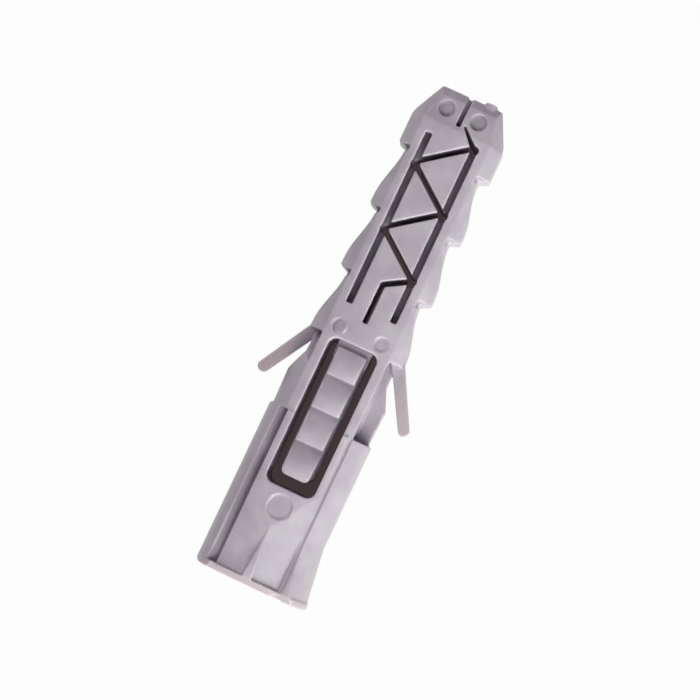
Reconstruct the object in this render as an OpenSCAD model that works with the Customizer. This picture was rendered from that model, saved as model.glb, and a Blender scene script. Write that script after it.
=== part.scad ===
// Plastic wall plug for a 10 mm hole, moulded in one piece.
// It lies on its back: +Z is out of the front face, the length runs along Y with the tip
// at +Y and the screw end at -Y. Sizes in mm.

/* [Overall] */
// length from the screw end to the flat of the tip
plug_length = 50; // [49:0.5:52]
// diameter of the round flanks of the body
body_diameter = 10.2; // [10:0.1:10.6]
// thickness of the body over its two flat bands
body_thickness = 7.6; // [7.4:0.1:7.8]
// width of the body over the barbs
barb_width = 9.3; // [9:0.1:9.6]
// width of the body behind each barb
neck_width = 7.44; // [7.3:0.02:7.8]

/* [Nose] */
// width of the flat end of the tip
tip_width = 6.1; // [5.6:0.1:6.6]
// length of the tapered nose
nose_length = 3.5; // [3:0.1:4]
// thickness of the flat end of the tip
tip_thickness = 4.8; // [4.6:0.1:5.2]
// thickness of the nose behind its rounded end
nose_thickness = 6.2; // [6:0.1:6.6]
// length of the steep end of the nose
nose_end_length = 0.8; // [0.6:0.1:1]
// width of the nose behind its rounded end
nose_end_width = 6.9; // [6.7:0.1:7.2]
// length over which the nose rounds into the flanks
nose_round_length = 0.6; // [0.4:0.1:0.8]
// how much that rounding takes off each side
nose_round_depth = 0.15; // [0.1:0.05:0.25]
// how much the radius of the round flanks shrinks along the nose
nose_taper = 1.25; // [1:0.05:1.5]
// distance of the two round recesses from the slit
nose_mark_spacing = 1.68; // [1.5:0.02:1.8]
// diameter of the round recesses in the nose
nose_mark_diameter = 1.56; // [1.4:0.02:1.6]
// distance of the round recesses from the tip
nose_mark_back = 1.95; // [1.8:0.05:2.1]
// height of the middle of their floors above the middle plane
nose_mark_floor = 2.8; // [2.7:0.05:3]
// tilt of their floors, which lie deepest next to the slit
nose_mark_tilt = 6; // [4:1:8]
// diameter of the moulding nib on the tip
nib_diameter = 1.2; // [1:0.05:1.4]
// how far the nib stands out of the tip
nib_height = 0.27; // [0.1:0.01:0.4]
// offset of the nib from the middle
nib_offset = 1.87; // [1.6:0.01:2]
// distance from the front edge of the tip down to the middle of the nib
nib_drop = 0.2; // [0.1:0.05:0.4]

/* [Barbs] */
// distance from the tip to the end of the first barb
first_barb_end = 6.5; // [6:0.1:6.8]
// distance from one barb to the next
barb_pitch = 6.42; // [6.3:0.02:6.6]
// how far the outer corner of a barb is raked towards the tip
barb_rake = 0.12; // [0.05:0.01:0.25]
// length over which the neck blends into the barb end
neck_blend = 0.42; // [0.35:0.01:0.6]
// straight length of each barb before its end
barb_land = 0.7; // [0.5:0.05:1]
// length of the small notch in each corner behind a barb
barb_notch_length = 0.65; // [0.5:0.05:0.8]
// height of the floor of these notches above the middle plane
barb_notch_floor = 2.4; // [2.2:0.1:2.8]
// straight length of the neck before it widens again
neck_land = 0.1; // [0.05:0.05:0.4]

/* [Shoulder and waist] */
// width of the shoulder above the whiskers
shoulder_width = 9.6; // [9.4:0.1:10]
// distance of the shoulder from the screw end
shoulder_height = 24.35; // [24.1:0.05:24.6]
// straight length of the flank above the shoulder
shoulder_land = 0.4; // [0.3:0.05:0.6]
// width of the waist next to the whiskers
waist_width = 8.2; // [8:0.1:8.6]
// width of the bulge below the waist
bulge_width = 10.06; // [9.8:0.02:10.1]
// width just above the collar
collar_neck_width = 9.8; // [9.6:0.05:9.95]
// distance of the bulge from the screw end
bulge_height = 19.9; // [19.6:0.1:20.2]
// length of the slope from waist to bulge
bulge_slope = 2.1; // [1.8:0.1:2.4]
// height of the floor of the side pocket above the middle plane, at its inner edge by the shoulder
pocket_floor = 0.8; // [0.8:0.1:1.1]
// slope of this floor up to its outer side
pocket_side_angle = 18; // [14:1:22]
// slope of this floor down to the collar
pocket_angle = 10; // [6:1:12]
// height of the recess beside a whisker's root above the middle plane
root_recess_floor = 0.3; // [0.1:0.1:0.5]
// height of its floor halfway along
root_recess_middle = 2.2; // [2:0.1:2.4]
// length over which this floor rises to the band
root_recess_length = 3.4; // [3:0.1:3.8]

/* [Whiskers] */
// angle of a whisker to the length of the plug
whisker_angle = 29.8; // [26:0.2:32]
// length of a whisker from root to centre of its round end
whisker_length = 6.05; // [5:0.05:6.4]
// width of a whisker at its root
whisker_root_width = 1.25; // [1.1:0.05:1.4]
// width of a whisker at its end
whisker_end_width = 1.08; // [0.9:0.02:1.2]
// distance of the whisker root from the middle
whisker_root_offset = 4.34; // [4.24:0.02:4.44]
// height of the inner face of a whisker above the middle plane, just inside the pocket's floor
whisker_inner = 0.6; // [0.5:0.1:0.7]
// thickness of a whisker
whisker_thickness = 1.4; // [1.1:0.1:1.6]
// how much further the inner edge of a whisker runs into the body than the outer one
whisker_root_lap = 0.35; // [0.25:0.05:0.5]

/* [Collar] */
// length of the collar from the screw end
collar_length = 16.4; // [16:0.1:16.8]
// diameter of the round sides of the collar
collar_diameter = 10.5; // [10.3:0.1:10.8]
// thickness of the collar over its raised bands
collar_thickness = 8; // [7.9:0.05:8.2]
// width of the raised band on the collar
collar_band_width = 6.36; // [6.2:0.02:6.5]
// height of the floor of the deep corner groove above the middle plane
deep_groove_floor = 2.4; // [2.2:0.1:2.6]
// flat width of the floor of the deep corner groove
groove_floor_width = 0.27; // [0.2:0.01:0.4]
// slope of the outer side of the deep corner groove, sideways for each mm of height
groove_side_slope = 0.8; // [0.7:0.05:0.9]
// distance of the shallow corner groove from the middle
valley_offset = 3.3; // [3.2:0.02:3.4]
// height of the lowest line of the shallow corner groove above the middle plane
valley_floor = 3.66; // [3.5:0.02:3.8]
// slope of both sides of the shallow corner groove, sideways for each mm of height
valley_slope = 1.1; // [0.9:0.1:1.6]
// length over which the right side leans outwards
flare_length = 7.5; // [6:0.5:9]
// angle at which the middle line of that part leans to the right
flare_angle = 3; // [2.6:0.1:3.6]
// how far the inner end of that part lies inside the round sides
flare_inset = 0.25; // [0.2:0.05:0.35]
// how far its outer end stands out of them
flare_growth = 0.5; // [0.4:0.05:0.6]

/* [Rim] */
// length of the rim along the plug
rim_length = 0.65; // [0.5:0.05:0.8]
// how much the front and back of the rim fall away towards the screw end
rim_fall = 0.35; // [0.25:0.05:0.45]
// diameter of the rim
rim_diameter = 11.4; // [11.1:0.1:11.6]
// sideways offset of the rim
rim_offset = 0.42; // [0.3:0.02:0.5]
// radius of the rounded left corner of the rim
rim_corner_radius = 0.6; // [0.4:0.05:0.8]
// distance from the screw end at which the sloping floors meet in the middle
ramp_start = 5.75; // [5:0.05:6.4]
// slope of these floors towards the rim
ramp_angle = 3.5; // [2.5:0.5:5]
// slope of these floors towards their outer sides
ramp_side_angle = 5.5; // [4:0.5:7]
// width of the middle rib where it meets the rim
ramp_rib_width = 0.95; // [0.7:0.05:1.2]
// depth of the small notch in the edge of the rim
rim_notch_depth = 0.28; // [0.2:0.02:0.34]
// radius of the small notch
rim_notch_radius = 0.9; // [0.7:0.05:1.1]
// offset of the small notch from the middle
rim_notch_offset = 3.23; // [2.9:0.01:3.5]
// height of the floor of the small notch above the middle plane
rim_notch_floor = 2.8; // [2.5:0.1:3]

/* [Screw bore] */
// diameter of the screw bore
bore_diameter = 4.2; // [4:0.1:4.4]
// distance from the screw end at which the bore ends in its cone
bore_length = 24.6; // [24.4:0.1:25]
// diameter of the bore at that end, to which it narrows from the window on
bore_end_diameter = 3.9; // [3.6:0.1:4]
// length of the cone at the end of the bore
bore_cone_length = 3.4; // [3:0.1:4]
// diameter of the channel between the two halves
channel_diameter = 2.4; // [2:0.1:2.6]
// distance from the tip at which the channel ends
channel_end = 4.6; // [4.4:0.1:5]
// width of the chamfer at the mouth of the bore
mouth_chamfer = 0.35; // [0.2:0.05:0.5]

/* [Window and tongue] */
// width of the window
window_width = 4.96; // [4.9:0.02:5.04]
// distance of the window from the screw end
window_start = 9.6; // [9.4:0.1:9.8]
// radius of the corners of the window
window_corner_radius = 0.85; // [0.7:0.05:1]
// width of the stepped tongue at its top
tongue_width = 2.8; // [2.6:0.05:2.9]
// how much wider the tongue is at its foot
tongue_draft = 0.6; // [0.3:0.1:0.8]
// height of the foot of the tongue above the middle plane
tongue_foot = 1; // [0.8:0.1:1.3]
// gap between the tongue and the end of the window nearer the tip
tongue_gap_top = 0.65; // [0.5:0.05:0.8]
// gap between the tongue and the end of the window nearer the collar
tongue_gap_bottom = 1.2; // [1:0.05:1.4]
// depth of the top of the tongue below the body band
tongue_set_back = 0.2; // [0.1:0.05:0.3]
// length of one step of the tongue
tongue_step = 3.38; // [3.3:0.02:3.42]
// radius of the rounded top of a step
tongue_crown_radius = 3.5; // [3.2:0.1:4]
// distance of its highest line from the end of the step nearer the collar
tongue_crest_place = 0.9; // [0.8:0.05:1.1]
// radius of the free corners of the tongue
tongue_corner_radius = 0.5; // [0.3:0.05:0.6]
// depth of the web that holds the tongue at its end nearer the tip, below the body band
web_depth = 1.6; // [1.45:0.05:1.65]

/* [Slits and grooves] */
// width of the zigzag slit
slit_width = 0.54; // [0.45:0.01:0.6]
// distance of the turns of the slit from the middle line of the zigzag
slit_reach = 2.22; // [2.16:0.02:2.28]
// sideways offset of that middle line and of the straight grooves
zigzag_offset = -0.06; // [-0.1:0.01:0]
// how much nearer to the tip every second stroke of the zigzag lies
stroke_shift = 0.22; // [0:0.02:0.26]
// distance of the first turn from the tip
first_turn = 4.5; // [4.4:0.05:4.6]
// distance along the plug from one turn to the next
turn_pitch = 3.375; // [3.35:0.005:3.4]
// sideways offset of the straight ends of the slit
slit_offset = -0.17; // [-0.25:0.01:-0.1]
// width of the slit at its start, from which it widens to the first turn
slit_start_width = 0.2; // [0.15:0.01:0.4]
// distance from the tip at which the slit starts
slit_start = 2.75; // [2.7:0.05:2.95]
// sideways place of the start of the slit
slit_start_offset = 0.37; // [0.35:0.01:0.45]
// distance from the tip to the lower bend of the slit
slit_bend = 19.4; // [19.2:0.05:19.6]
// distance from the tip to the lower end of the slit
slit_end = 23.4; // [23:0.05:23.6]
// diameter of the widened turns
turn_diameter = 0.92; // [0.8:0.02:1]
// width of the slit in the tip
tip_slit_width = 0.44; // [0.38:0.02:0.5]
// length of the slit in the tip
tip_slit_length = 3.1; // [3:0.05:3.2]
// length of the bridge that closes the tip slit
tip_bridge_length = 2.7; // [2.4:0.05:2.8]
// thickness of that bridge
tip_bridge_thickness = 4.2; // [4:0.1:4.4]
// distance of that bridge from the flat of the tip
tip_bridge_back = 0.15; // [0.1:0.05:0.3]
// width of the two straight grooves
groove_width = 0.65; // [0.55:0.01:0.75]
// distance of the straight grooves from the middle line of the zigzag
groove_offset = 2.26; // [2.2:0.02:2.32]
// depth of the straight grooves
groove_depth = 2.4; // [2.1:0.05:2.5]
// distance from the tip at which the grooves start
groove_start = 4.7; // [4.5:0.05:4.9]
// distance from the tip at which the grooves end
groove_end = 22.25; // [22:0.05:22.5]

/* [Moulding marks] */
// diameter of the large round mark on the collar
collar_mark_diameter = 2.4; // [2:0.1:2.8]
// depth of the large round mark
collar_mark_depth = 0.15; // [0.1:0.01:0.25]
// distance of the large round mark from the screw end
collar_mark_height = 7.87; // [7.6:0.01:8.1]
// diameter of the two small tilted marks on the body
body_mark_diameter = 1.36; // [1.2:0.02:1.5]
// distance of the small marks from the middle
body_mark_offset = 2.12; // [2.04:0.02:2.2]
// distance of the small marks from the screw end
body_mark_height = 25.45; // [25.35:0.05:25.6]
// tilt of the left small mark, whose right edge stands out
left_mark_tilt = 27; // [24:1:28]
// depth of its left edge
left_mark_depth = 0.44; // [0.42:0.02:0.5]
// tilt of the right small mark
right_mark_tilt = 9; // [6:1:10]
// depth of its left edge
right_mark_depth = 0.26; // [0.22:0.02:0.34]

/* [Hidden] */
$fn = 96;
eps = 0.01;
lap = 1;
far = 20;
half_round = body_diameter / 2;
half_body = body_thickness / 2;
half_collar = collar_thickness / 2;
half_band = collar_band_width / 2;
half_side = collar_diameter / 2;
band_edge = sqrt(pow(half_round, 2) - pow(half_body, 2));
nose_base = plug_length - nose_length;
neck_reach = neck_blend + neck_land;
barb_reach = barb_rake + barb_land;
window_length = shoulder_height - window_start;
tongue_low = window_start + tongue_gap_bottom;
tongue_high = shoulder_height - tongue_gap_top;
tongue_top = half_body - tongue_set_back;
web_top = half_body - web_depth;
slit_low = plug_length - slit_end;
whole_length = plug_length + nib_height;
barb_ends = [for (i = [0:2]) plug_length - first_barb_end - i * barb_pitch];
turns = [for (i = [0:4]) [
    zigzag_offset + (i % 2 == 0 ? 1 : -1) * slit_reach,
    plug_length - first_turn - i * turn_pitch
]];
slit_path = concat(
    [[slit_start_offset, plug_length - slit_start]],
    turns,
    [[slit_offset, plug_length - slit_bend], [slit_offset, slit_low]]
);

// the points of a right-hand outline, mirrored to the left and read the other way
function other_side(points) =
    [for (i = [len(points) - 1:-1:0]) [-points[i][0], points[i][1]]];

// a smooth S-shaped widening from half width a at height p down to half width b at height q
function swell(a, p, b, q, n = 10) =
    [for (i = [0:n]) [a + (b - a) * (1 - cos(180 * i / n)) / 2, p + (q - p) * i / n]];

// a rounded corner at the foot of a barb, from its end face into the neck
function neck_corner(end) =
    let (radius = neck_blend - barb_rake)
    [for (i = [0:4]) [
        neck_width / 2 + radius * (1 - sin(90 * i / 4)),
        end - neck_blend + radius * cos(90 * i / 4)
    ]];

// a drawing across the plug (sideways, out of the front), drawn out along the plug
module along(from, to) {
    translate([0, to, 0])
        rotate([90, 0, 0])
            linear_extrude(height = to - from)
                children();
}

// a drawing seen from the front, drawn out through the thickness
module through(from = -far, to = far) {
    translate([0, 0, from])
        linear_extrude(height = to - from)
            children();
}

// a drawing seen from the side (along the plug, out of the front), drawn out sideways
module sideways(width) {
    rotate([90, 0, 90])
        linear_extrude(height = width, center = true)
            children();
}

// the same detail on the front and, turned half round the length, on the back
module both_faces() {
    children();
    rotate([0, 180, 0])
        children();
}

module barbed_outline() {
    half_barb = barb_width / 2;
    side = concat(
        [
            [tip_width / 2, plug_length],
            [nose_end_width / 2, plug_length - nose_end_length],
            [half_barb - nose_round_depth, nose_base + nose_round_length],
            [half_barb, nose_base],
            [half_barb, barb_ends[0] + barb_rake]
        ],
        neck_corner(barb_ends[0]),
        swell(neck_width / 2, barb_ends[0] - neck_reach, half_barb, barb_ends[1] + barb_reach),
        [[half_barb, barb_ends[1] + barb_rake]],
        neck_corner(barb_ends[1]),
        swell(neck_width / 2, barb_ends[1] - neck_reach, half_barb, barb_ends[2] + barb_reach),
        [[half_barb, barb_ends[2] + barb_rake]],
        neck_corner(barb_ends[2]),
        swell(neck_width / 2, barb_ends[2] - neck_reach, shoulder_width / 2, shoulder_height + shoulder_land),
        [
            [shoulder_width / 2, shoulder_height],
            [waist_width / 2, shoulder_height],
            [waist_width / 2, bulge_height + bulge_slope],
            [bulge_width / 2, bulge_height],
            [collar_neck_width / 2, collar_length],
            [collar_neck_width / 2, collar_length - lap]
        ]
    );
    polygon(concat(side, other_side(side)));
}

module nose_profile() {
    polygon([
        [0, half_body],
        [nose_base, half_body],
        [plug_length - nose_end_length, nose_thickness / 2],
        [plug_length, tip_thickness / 2],
        [plug_length, -tip_thickness / 2],
        [plug_length - nose_end_length, -nose_thickness / 2],
        [nose_base, -half_body],
        [0, -half_body]
    ]);
}

module body() {
    intersection() {
        through(-half_body, half_body)
            barbed_outline();
        union() {
            along(collar_length - lap, nose_base)
                circle(r = half_round);
            translate([0, nose_base - eps, 0])
                rotate([-90, 0, 0])
                    cylinder(h = nose_length + eps, r1 = half_round, r2 = half_round - nose_taper);
        }
        sideways(2 * far)
            nose_profile();
    }
}

module barb_notches() {
    for (end = barb_ends)
        for (x = [-band_edge - far, band_edge])
            translate([x, end - barb_notch_length, barb_notch_floor])
                cube([far, barb_notch_length, far]);
}

module side_pocket() {
    intersection() {
        translate([band_edge, shoulder_height, pocket_floor])
            rotate([pocket_angle, -pocket_side_angle, 0])
                translate([-far, -far, 0])
                    cube([2 * far, 2 * far, far]);
        translate([band_edge, collar_length, -half_body])
            cube([far, shoulder_height - collar_length, far]);
    }
}

// the recess on the other side, beside the root of that face's whisker
module root_recess() {
    translate([-band_edge - far, 0, 0])
        rotate([90, 0, 90])
            linear_extrude(height = far)
                polygon([
                    [shoulder_height, root_recess_floor],
                    [shoulder_height, far],
                    [shoulder_height - root_recess_length, far],
                    [shoulder_height - root_recess_length, half_body],
                    [shoulder_height - root_recess_length / 2, root_recess_middle]
                ]);
}

module whisker() {
    through(whisker_inner, whisker_inner + whisker_thickness)
        translate([whisker_root_offset, shoulder_height])
            rotate(whisker_angle) {
                polygon([
                    [-whisker_root_width / 2, whisker_root_lap],
                    [whisker_root_width / 2, 0],
                    [whisker_end_width / 2, -whisker_length],
                    [-whisker_end_width / 2, -whisker_length]
                ]);
                translate([0, -whisker_length])
                    circle(d = whisker_end_width);
            }
}

// the deep groove between the left edge of the band and the round side
module deep_groove() {
    rise = half_collar - deep_groove_floor;
    floor_end = -half_band - groove_floor_width;
    along(rim_length, collar_length + eps)
        polygon([
            [-half_band, deep_groove_floor],
            [-half_band, far],
            [floor_end - rise * groove_side_slope, far],
            [floor_end - rise * groove_side_slope, half_collar],
            [floor_end, deep_groove_floor]
        ]);
}

// the shallow groove along the right edge of the band
module valley() {
    reach = (half_collar - valley_floor) * valley_slope;
    along(rim_length, collar_length + eps)
        polygon([
            [valley_offset, valley_floor],
            [valley_offset + reach, half_collar],
            [valley_offset + reach, far],
            [valley_offset - reach, far],
            [valley_offset - reach, half_collar]
        ]);
}

// the right-hand floor beside the middle rib, sloping to the rim and to its outer side
module sloping_floor() {
    intersection() {
        translate([0, ramp_start, half_collar])
            rotate([ramp_angle, ramp_side_angle, 0])
                translate([-far, -2 * far, 0])
                    cube([2 * far, 4 * far, far]);
        through()
            polygon([
                [0, ramp_start],
                [ramp_rib_width / 2, rim_length],
                [half_band + eps, rim_length],
                [half_band + eps, collar_length],
                [0, collar_length]
            ]);
    }
}

module collar() {
    difference() {
        intersection() {
            union() {
                along(0, collar_length)
                    circle(d = collar_diameter);
                translate([0, flare_length, 0])
                    rotate([90, 0, flare_angle])
                        cylinder(
                            h = flare_length + lap,
                            r1 = half_side - flare_inset,
                            r2 = half_side + flare_growth
                        );
                along(0, rim_length)
                    translate([rim_offset, 0])
                        circle(d = rim_diameter);
            }
            sideways(2 * far)
                polygon([
                    [0, half_collar - rim_fall],
                    [rim_length, half_collar],
                    [collar_length, half_collar],
                    [collar_length, -half_collar],
                    [rim_length, -half_collar],
                    [0, rim_fall - half_collar]
                ]);
        }
        through()
            translate([rim_offset - rim_diameter / 2, 0])
                difference() {
                    translate([-lap, -lap])
                        square([lap + rim_corner_radius, lap + rim_corner_radius]);
                    translate([rim_corner_radius, rim_corner_radius])
                        circle(r = rim_corner_radius);
                }
        through(rim_notch_floor, far)
            translate([rim_notch_offset, rim_notch_depth - rim_notch_radius])
                circle(r = rim_notch_radius);
    }
}

module window() {
    through()
        translate([-window_width / 2, window_start]) {
            translate([window_corner_radius, 0])
                square([window_width - 2 * window_corner_radius, window_length]);
            translate([0, window_corner_radius])
                square([window_width, window_length - 2 * window_corner_radius]);
            for (x = [window_corner_radius, window_width - window_corner_radius])
                for (y = [window_corner_radius, window_length - window_corner_radius])
                    translate([x, y])
                        circle(r = window_corner_radius);
        }
}

// what is cut away above the rounded top of one step of the tongue
module step_cut(low) {
    difference() {
        translate([-far, low, tongue_foot])
            cube([2 * far, tongue_step, far]);
        translate([0, low + tongue_crest_place, tongue_top - tongue_crown_radius])
            rotate([0, 90, 0])
                cylinder(h = 3 * far, r = tongue_crown_radius, center = true);
    }
}

module tongue() {
    difference() {
        intersection() {
            along(tongue_low, tongue_high)
                polygon([
                    [-tongue_width / 2, tongue_top],
                    [tongue_width / 2, tongue_top],
                    [(tongue_width + tongue_draft) / 2, tongue_foot],
                    [-(tongue_width + tongue_draft) / 2, tongue_foot]
                ]);
            through() {
                translate([-far, tongue_low + tongue_corner_radius])
                    square([2 * far, far]);
                translate([tongue_corner_radius - tongue_width / 2, tongue_low])
                    square([tongue_width - 2 * tongue_corner_radius, far]);
                for (x = [-1, 1])
                    translate([x * (tongue_width / 2 - tongue_corner_radius), tongue_low + tongue_corner_radius])
                        circle(r = tongue_corner_radius);
            }
        }
        for (i = [0:3])
            step_cut(tongue_low + i * tongue_step);
    }
    along(tongue_high - lap, shoulder_height + lap / 4)
        translate([-(tongue_width + tongue_draft) / 2, tongue_foot])
            square([tongue_width + tongue_draft, web_top - tongue_foot]);
}

module screw_bore() {
    rotate([-90, 0, 0]) {
        translate([0, 0, -lap])
            cylinder(h = window_start + lap, d = bore_diameter);
        translate([0, 0, -eps])
            cylinder(h = mouth_chamfer + eps, d1 = bore_diameter + 2 * mouth_chamfer, d2 = bore_diameter);
        translate([0, 0, window_start])
            cylinder(h = bore_length - window_start, d1 = bore_diameter, d2 = bore_end_diameter);
        translate([0, 0, bore_length])
            cylinder(h = bore_cone_length, d1 = bore_end_diameter, d2 = channel_diameter);
        translate([0, 0, bore_length])
            cylinder(h = plug_length - channel_end - bore_length, d = channel_diameter);
    }
}

module zigzag_slit() {
    through() {
        for (i = [0:len(slit_path) - 2]) {
            step = slit_path[i + 1] - slit_path[i];
            half_start = (i == 0 ? slit_start_width : slit_width) / 2;
            shift = i == 1 || i == 3 ? stroke_shift : 0;
            translate(slit_path[i] + [0, shift])
                rotate(atan2(step[1], step[0]))
                    polygon([
                        [0, -half_start],
                        [norm(step), -slit_width / 2],
                        [norm(step), slit_width / 2],
                        [0, half_start]
                    ]);
        }
        for (place = turns)
            translate(place)
                circle(d = turn_diameter);
        translate([slit_offset, plug_length - slit_bend])
            circle(d = slit_width);
    }
}

module tip_slit() {
    difference() {
        through()
            translate([slit_offset - tip_slit_width / 2, plug_length - tip_slit_length])
                square([tip_slit_width, tip_slit_length + lap]);
        translate([-far, plug_length - tip_bridge_length, -tip_bridge_thickness / 2])
            cube([2 * far, tip_bridge_length - tip_bridge_back, tip_bridge_thickness]);
    }
}

module straight_grooves() {
    for (x = [zigzag_offset - groove_offset, zigzag_offset + groove_offset])
        translate([x - groove_width / 2, plug_length - groove_end, half_body - groove_depth])
            cube([groove_width, groove_end - groove_start, far]);
}

// puts a disc on the body, turned so that its left edge lies deeper than its right one
module tilted_mark(side, depth, tilt) {
    translate([side, body_mark_height, half_body - depth + body_mark_diameter / 2 * sin(tilt)])
        rotate([0, -tilt, 0])
            children();
}

module moulding_marks() {
    for (x = [-1, 1])
        translate([slit_offset + x * nose_mark_spacing, plug_length - nose_mark_back, nose_mark_floor])
            rotate([0, -x * nose_mark_tilt, 0])
                cylinder(h = far, d = nose_mark_diameter);
    translate([0, collar_mark_height, half_collar - collar_mark_depth])
        cylinder(h = far, d = collar_mark_diameter);
    tilted_mark(body_mark_offset, right_mark_depth, right_mark_tilt)
        cylinder(h = far, d = body_mark_diameter);
    tilted_mark(-body_mark_offset, left_mark_depth, left_mark_tilt)
        cylinder(h = far, d = body_mark_diameter);
}

// the edge of the left small mark that stands out of the body
module mark_lip() {
    tilted_mark(-body_mark_offset, left_mark_depth, left_mark_tilt)
        translate([0, 0, -lap])
            cylinder(h = lap, d = body_mark_diameter);
}

module nib() {
    translate([nib_offset, plug_length - nose_length / 2, tip_thickness / 2 - nib_drop])
        rotate([-90, 0, 0])
            cylinder(h = nose_length / 2 + nib_height, d = nib_diameter);
}

module plug_body() {
    color([0.72, 0.7, 0.73])
        translate([0, -whole_length / 2, half_collar]) {
            difference() {
                union() {
                    difference() {
                        body();
                        both_faces() {
                            side_pocket();
                            root_recess();
                            barb_notches();
                        }
                    }
                    collar();
                    both_faces()
                        whisker();
                    nib();
                    mark_lip();
                }
                window();
                screw_bore();
                zigzag_slit();
                tip_slit();
                both_faces() {
                    straight_grooves();
                    deep_groove();
                    valley();
                    sloping_floor();
                    mirror([1, 0, 0])
                        sloping_floor();
                }
                moulding_marks();
            }
            difference() {
                both_faces()
                    tongue();
                screw_bore();
            }
        }
}

plug_body();
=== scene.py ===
import bpy
import bmesh
import math
from mathutils import Matrix, Vector


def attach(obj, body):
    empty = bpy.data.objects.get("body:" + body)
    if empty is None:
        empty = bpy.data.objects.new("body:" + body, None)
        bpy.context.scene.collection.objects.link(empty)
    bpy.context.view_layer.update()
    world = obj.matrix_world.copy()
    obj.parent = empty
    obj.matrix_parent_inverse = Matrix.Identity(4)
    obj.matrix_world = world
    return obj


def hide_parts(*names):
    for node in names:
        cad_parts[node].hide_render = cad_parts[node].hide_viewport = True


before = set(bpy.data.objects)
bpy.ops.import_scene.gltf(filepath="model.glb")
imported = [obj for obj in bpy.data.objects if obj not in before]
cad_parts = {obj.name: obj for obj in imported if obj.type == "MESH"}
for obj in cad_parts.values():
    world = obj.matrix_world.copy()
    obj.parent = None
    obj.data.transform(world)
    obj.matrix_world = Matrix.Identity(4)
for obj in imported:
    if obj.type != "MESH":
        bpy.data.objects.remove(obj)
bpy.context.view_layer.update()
scene = bpy.context.scene
mm = 0.001
print("frame loaded:", sorted(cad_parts))


def linearColour(hexCode):
    # an sRGB hex value as the linear colour that shaders take
    parts = [int(hexCode[i:i + 2], 16) / 255 for i in (1, 3, 5)]
    linear = [p / 12.92 if p <= 0.04045 else ((p + 0.055) / 1.055) ** 2.4 for p in parts]
    return (*linear, 1.0)


def addNode(tree, kind, settings=None, links=None):
    # settings go to sockets, by name or number, or to properties;
    # links lead from another node's output to a socket
    node = tree.nodes.new(kind)
    for name, value in (settings or {}).items():
        if isinstance(name, int) or name in node.inputs:
            node.inputs[name].default_value = value
        else:
            setattr(node, name, value)
    for name, source in (links or {}).items():
        tree.links.new(source, node.inputs[name])
    return node


def newMaterial(name):
    material = bpy.data.materials.new(name)
    material.use_nodes = True
    material.node_tree.nodes.clear()
    return material, material.node_tree


def fade(tree, measures):
    # rises from 0 to 1 along each measure, between two places in mm; the larger of the two counts
    ramps = [addNode(tree, "ShaderNodeMapRange",
                     {"From Min": start * mm, "From Max": full * mm},
                     {"Value": measure}).outputs["Result"]
             for measure, (start, full) in measures]
    larger = addNode(tree, "ShaderNodeMath", {"operation": "MAXIMUM"}, {0: ramps[0], 1: ramps[1]})
    return larger.outputs[0]


# a telephoto view nearly straight down, turned so that the tip points up to the right
cameraView = {
    "target": Vector((0, -0.135, 4)) * mm,   # the middle of the plug
    "distance": 265 * mm,
    "towardsCollar": 1.95,                   # degrees
    "towardsRight": 2.9,                     # degrees
    "roll": 25.3,                            # degrees
    "lens": 144.8,                           # mm
    "sensor": 36,                            # mm
    "shift": (-0.01431, -0.01171),           # share of the picture's width
    "clipStart": 10 * mm,
}

outwards = Vector((math.tan(math.radians(cameraView["towardsRight"])),
                   -math.tan(math.radians(cameraView["towardsCollar"])), 1)).normalized()
along = Vector((0, 1, 0))
along = (along - outwards * along.dot(outwards)).normalized()
across = along.cross(outwards)
turn = math.radians(cameraView["roll"])
pictureRight = across * math.cos(turn) + along * math.sin(turn)
pictureUp = along * math.cos(turn) - across * math.sin(turn)
cameraPlace = Matrix((pictureRight, pictureUp, outwards)).transposed().to_4x4()
cameraPlace.translation = cameraView["target"] + outwards * cameraView["distance"]

cameraData = bpy.data.cameras.new("camera")
cameraData.lens = cameraView["lens"]
cameraData.sensor_width = cameraView["sensor"]
cameraData.shift_x, cameraData.shift_y = cameraView["shift"]
cameraData.clip_start = cameraView["clipStart"]
camera = bpy.data.objects.new("camera", cameraData)
camera.matrix_world = cameraPlace
scene.collection.objects.link(camera)
scene.camera = camera
print("camera placed")


nylonLook = {
    "colour": "#C8C3C9",               # light grey with a trace of lilac
    "patch": "#BCB4BE",                # where the melt cooled a little darker
    "patchSpread": (0.35, 0.65),       # noise values at which patch and colour are full
    # whiskers and rim get a painted warm tint, which stands for light passing through these thin
    # parts;
    # the fade goes by distance from the middle, so it also tints the outermost sides of shoulder
    # and collar
    "thin": "#C8BEC1",
    "whiskerFade": (5.0, 5.6),         # mm from the middle, where this colour starts and is full
    "rimFade": (-24.3, -24.7),         # mm along the plug, the same for the rim
    "patches": (2.6, 3.0, 0.55),       # size in mm, detail and roughness of the noise
    "waves": (1.3, 1.5, 0.5),          # the same for the slow unevenness of the skin
    "grain": (0.16, 2.0, 0.6),         # the same for the eroded finish of the mould
    "waveBump": (0.35, 0.06),          # strength, and height in mm
    "grainBump": (0.4, 0.02),
    "roughness": (0.3, 0.4),           # in the patches and elsewhere
    "roughnessSpread": (0.3, 0.7),     # noise values at which each of the two is full
    "ior": 1.53,
    "scatterShare": 0.8,               # share of the light that scatters under the skin
    "scatterDepth": 0.7,               # mm that it travels there
    "scatterTint": (1.0, 0.8, 0.85),   # share of this depth for red, green and blue
}


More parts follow.
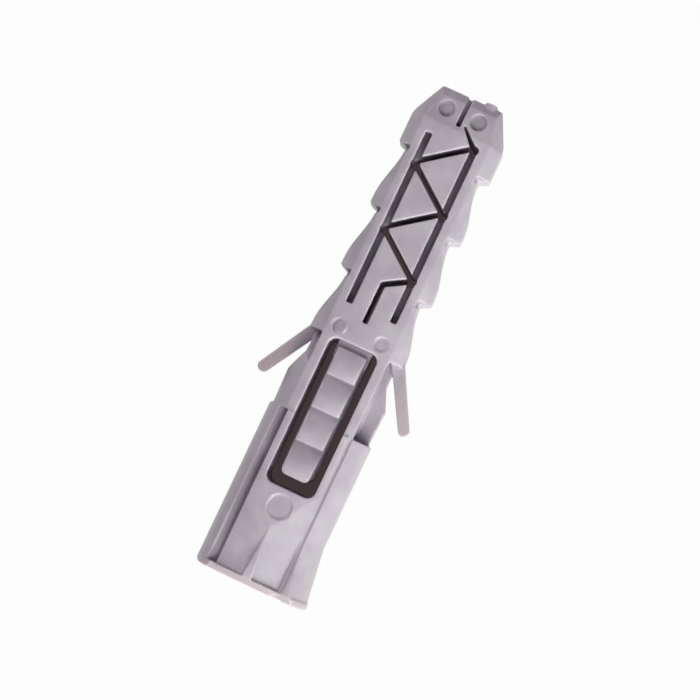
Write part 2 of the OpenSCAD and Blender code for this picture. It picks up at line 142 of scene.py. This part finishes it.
def mouldedNylon(look):
    # injection-moulded polyamide: satin, faintly translucent at thin edges,
    # with a skin that is never quite even
    material, tree = newMaterial("moulded nylon")
    spot = addNode(tree, "ShaderNodeTexCoord").outputs["Object"]
    perMetre = 1 / mm
    noise = {}
    for name in ("patches", "waves", "grain"):
        size, detail, roughness = look[name]
        noise[name] = addNode(tree, "ShaderNodeTexNoise",
                              {"Scale": perMetre / size, "Detail": detail, "Roughness": roughness},
                              {"Vector": spot}).outputs["Fac"]
    spread = addNode(tree, "ShaderNodeMapRange",
                     {"From Min": look["patchSpread"][0], "From Max": look["patchSpread"][1]},
                     {"Value": noise["patches"]})
    patched = addNode(tree, "ShaderNodeMix",
                      {"data_type": "RGBA",
                       6: linearColour(look["patch"]), 7: linearColour(look["colour"])},
                      {0: spread.outputs["Result"]})
    axes = addNode(tree, "ShaderNodeSeparateXYZ", links={"Vector": spot}).outputs
    fromMiddle = addNode(tree, "ShaderNodeMath", {"operation": "ABSOLUTE"}, {0: axes["X"]})
    # painted warm tint for light passing through the thin whiskers and rim, by distance from the
    # middle and along the plug
    thin = fade(tree, [(fromMiddle.outputs[0], look["whiskerFade"]), (axes["Y"], look["rimFade"])])
    paintedWarmTint = addNode(tree, "ShaderNodeMix", {"data_type": "RGBA", 7: linearColour(look["thin"])},
                     {0: thin, 6: patched.outputs[2]})
    gloss = addNode(tree, "ShaderNodeMapRange",
                    {"From Min": look["roughnessSpread"][0], "From Max": look["roughnessSpread"][1],
                     "To Min": look["roughness"][0], "To Max": look["roughness"][1]},
                    {"Value": noise["patches"]})
    slowBump = addNode(tree, "ShaderNodeBump",
                       {"Strength": look["waveBump"][0], "Distance": look["waveBump"][1] * mm},
                       {"Height": noise["waves"]})
    fineBump = addNode(tree, "ShaderNodeBump",
                       {"Strength": look["grainBump"][0], "Distance": look["grainBump"][1] * mm},
                       {"Height": noise["grain"], "Normal": slowBump.outputs["Normal"]})
    skin = addNode(tree, "ShaderNodeBsdfPrincipled",
                   {"IOR": look["ior"], "Subsurface Weight": look["scatterShare"],
                    "Subsurface Scale": look["scatterDepth"] * mm,
                    "Subsurface Radius": look["scatterTint"]},
                   {"Base Color": paintedWarmTint.outputs[2], "Roughness": gloss.outputs["Result"],
                    "Normal": fineBump.outputs["Normal"]})
    addNode(tree, "ShaderNodeOutputMaterial", links={"Surface": skin.outputs["BSDF"]})
    return material


paperLook = {
    "colour": "#8E8C8E",       # what the light that bounces back up sees
    "white": "#FFFFFF",        # what the camera sees
    "shade": "#413638",        # the strip seen through the slits, which stands for the plug's shade
    "lift": 0.98,              # share of these two that the camera sees
    "sideFade": (2.7, 3.3),    # mm to each side, where the shade ends and white is full
    "endFade": (22.2, 22.8),   # mm towards the tip and the collar, the same
}


def whitePaper(name, look):
    # a sheet of matt paper that the camera and reflections see as nearly plain white, so that
    # only a trace of the plug's real shadow shows; the strip under the plug is coloured as shade
    material, tree = newMaterial(name)
    rays = addNode(tree, "ShaderNodeLightPath").outputs
    seen = rays["Is Camera Ray"]
    for other in ("Is Glossy Ray", "Is Transmission Ray"):
        seen = addNode(tree, "ShaderNodeMath", {"operation": "MAXIMUM"},
                       {0: seen, 1: rays[other]}).outputs[0]
    share = addNode(tree, "ShaderNodeMath", {"operation": "MULTIPLY", 1: look["lift"]}, {0: seen})
    spot = addNode(tree, "ShaderNodeTexCoord").outputs["Object"]
    axes = addNode(tree, "ShaderNodeSeparateXYZ", links={"Vector": spot}).outputs
    fromMiddle = [addNode(tree, "ShaderNodeMath", {"operation": "ABSOLUTE"}, {0: axes[axis]})
                  for axis in ("X", "Y")]
    inTheOpen = fade(tree, [(fromMiddle[0].outputs[0], look["sideFade"]),
                            (fromMiddle[1].outputs[0], look["endFade"])])
    tone = addNode(tree, "ShaderNodeMix",
                   {"data_type": "RGBA",
                    6: linearColour(look["shade"]), 7: linearColour(look["white"])},
                   {0: inTheOpen})
    lit = addNode(tree, "ShaderNodeBsdfDiffuse", {"Color": linearColour(look["colour"])})
    glow = addNode(tree, "ShaderNodeEmission", {"Strength": 1.0}, {"Color": tone.outputs[2]})
    mixed = addNode(tree, "ShaderNodeMixShader",
                    links={0: share.outputs[0], 1: lit.outputs[0], 2: glow.outputs[0]})
    addNode(tree, "ShaderNodeOutputMaterial", links={"Surface": mixed.outputs[0]})
    return material


nylon = mouldedNylon(nylonLook)
paper = whitePaper("white paper", paperLook)
print("materials made")


# the CAD solid with a moulding's softly rounded edges and slightly domed front and back
plugShape = {
    "weld": 0.001,         # mm, corners closer than this are one
    "cell": 0.08,          # mm, size of the even faces that the skin is rebuilt from
    "easing": 3,           # rounds of smoothing, which round the edges to less than 0.1 mm
    "easingShare": 0.5,    # of the way to the middle of its neighbours that a corner moves
    "keptShare": 0.16,     # of the faces, once flat parts are thinned out
    "middle": 4.0,         # mm, height of the middle plane
    "crownWidth": 6.8,     # mm, width of the domed front and back
    "crownDrop": 0.3,      # mm that their long edges lie below the middle
}


def meshAsShown(piece):
    # the piece's mesh with its modifiers applied, which are then taken off
    bpy.context.view_layer.update()
    shown = piece.evaluated_get(bpy.context.evaluated_depsgraph_get())
    mesh = bpy.data.meshes.new_from_object(shown)
    piece.modifiers.clear()
    return mesh


def easedCopy(node, name, shape):
    # the remesh works in millimetres, so the copy is scaled up for it and back down after
    mesh = node.data.copy()
    mesh.name = name
    shell = bmesh.new()
    shell.from_mesh(mesh)
    bmesh.ops.remove_doubles(shell, verts=shell.verts, dist=shape["weld"] * mm)
    bmesh.ops.scale(shell, verts=shell.verts, vec=(1 / mm,) * 3)
    shell.to_mesh(mesh)
    shell.free()
    piece = bpy.data.objects.new(name, mesh)
    scene.collection.objects.link(piece)
    even = piece.modifiers.new("even faces", "REMESH")
    even.mode = "VOXEL"
    even.voxel_size = shape["cell"]
    evenMesh = meshAsShown(piece)

    shell = bmesh.new()
    shell.from_mesh(evenMesh)
    for step in range(shape["easing"]):
        bmesh.ops.smooth_vert(shell, verts=shell.verts, factor=shape["easingShare"],
                              use_axis_x=True, use_axis_y=True, use_axis_z=True)
    # the dome: towards the long edges, the skin moves nearer to the middle plane
    drop = shape["crownDrop"] / shape["middle"]
    for vert in shell.verts:
        fromMiddle = min(abs(2 * vert.co.x / shape["crownWidth"]), 1)
        vert.co.z -= (vert.co.z - shape["middle"]) * drop * fromMiddle ** 2
    bmesh.ops.scale(shell, verts=shell.verts, vec=(mm,) * 3)
    bmesh.ops.recalc_face_normals(shell, faces=shell.faces)
    shell.to_mesh(evenMesh)
    shell.free()
    piece.data = evenMesh
    bpy.data.meshes.remove(mesh)

    thin = piece.modifiers.new("thinner flats", "DECIMATE")
    thin.ratio = shape["keptShare"]
    finished = meshAsShown(piece)
    piece.data = finished
    bpy.data.meshes.remove(evenMesh)
    finished.name = name
    finished.polygons.foreach_set("use_smooth", [True] * len(finished.polygons))
    return piece


plug = easedCopy(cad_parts["plug_body"], "plug", plugShape)
plug.data.materials.clear()
plug.data.materials.append(nylon)
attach(plug, "root")
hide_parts("plug_body")
print("plug made:", len(plug.data.polygons), "faces")


floorShape = {
    "size": 3.0,   # m
}

floorShell = bmesh.new()
bmesh.ops.create_grid(floorShell, x_segments=1, y_segments=1, size=floorShape["size"] / 2)
floorMesh = bpy.data.meshes.new("floor")
floorShell.to_mesh(floorMesh)
floorShell.free()
floor = bpy.data.objects.new("floor", floorMesh)
floor.data.materials.append(paper)
scene.collection.objects.link(floor)


# bearing from the right (+X) towards the tip and height up from the paper, both in degrees;
# width and length in m; level, where 1 lights a white surface that faces the lamp to white
roomLights = {
    "window right": (-30, 19, (0.24, 0.2), 0.54, "#FFFFFF"),
    "window front": (-60, 15, (0.24, 0.2), 0.4, "#FFFFFF"),
    "fill behind": (150, 27, (0.24, 0.2), 0.3, "#FFF0FD"),
    "lamp above": (-50, 60, (0.22, 0.22), 0.43, "#FFFFFF"),
}
lightDistance = 0.5   # m
airLight = 0.15       # strength of the plain white world

for name, (bearing, height, size, level, colour) in roomLights.items():
    data = bpy.data.lights.new(name, "AREA")
    data.shape = "RECTANGLE"
    data.size, data.size_y = size
    data.energy = level * math.pi ** 2 * lightDistance ** 2
    data.color = linearColour(colour)[:3]
    lamp = bpy.data.objects.new(name, data)
    bearing, height = math.radians(bearing), math.radians(height)
    towards = Vector((math.cos(height) * math.cos(bearing), math.cos(height) * math.sin(bearing),
                      math.sin(height)))
    facing = towards.to_track_quat("Z", "Y").to_matrix().to_4x4()
    lamp.matrix_world = Matrix.Translation(towards * lightDistance) @ facing
    scene.collection.objects.link(lamp)

world = bpy.data.worlds.new("room")
scene.world = world
world.use_nodes = True
world.node_tree.nodes.clear()
air = addNode(world.node_tree, "ShaderNodeBackground",
              {"Color": (1, 1, 1, 1), "Strength": airLight})
addNode(world.node_tree, "ShaderNodeOutputWorld", links={"Surface": air.outputs[0]})
scene.view_settings.view_transform = "Standard"
print("floor and lights placed")
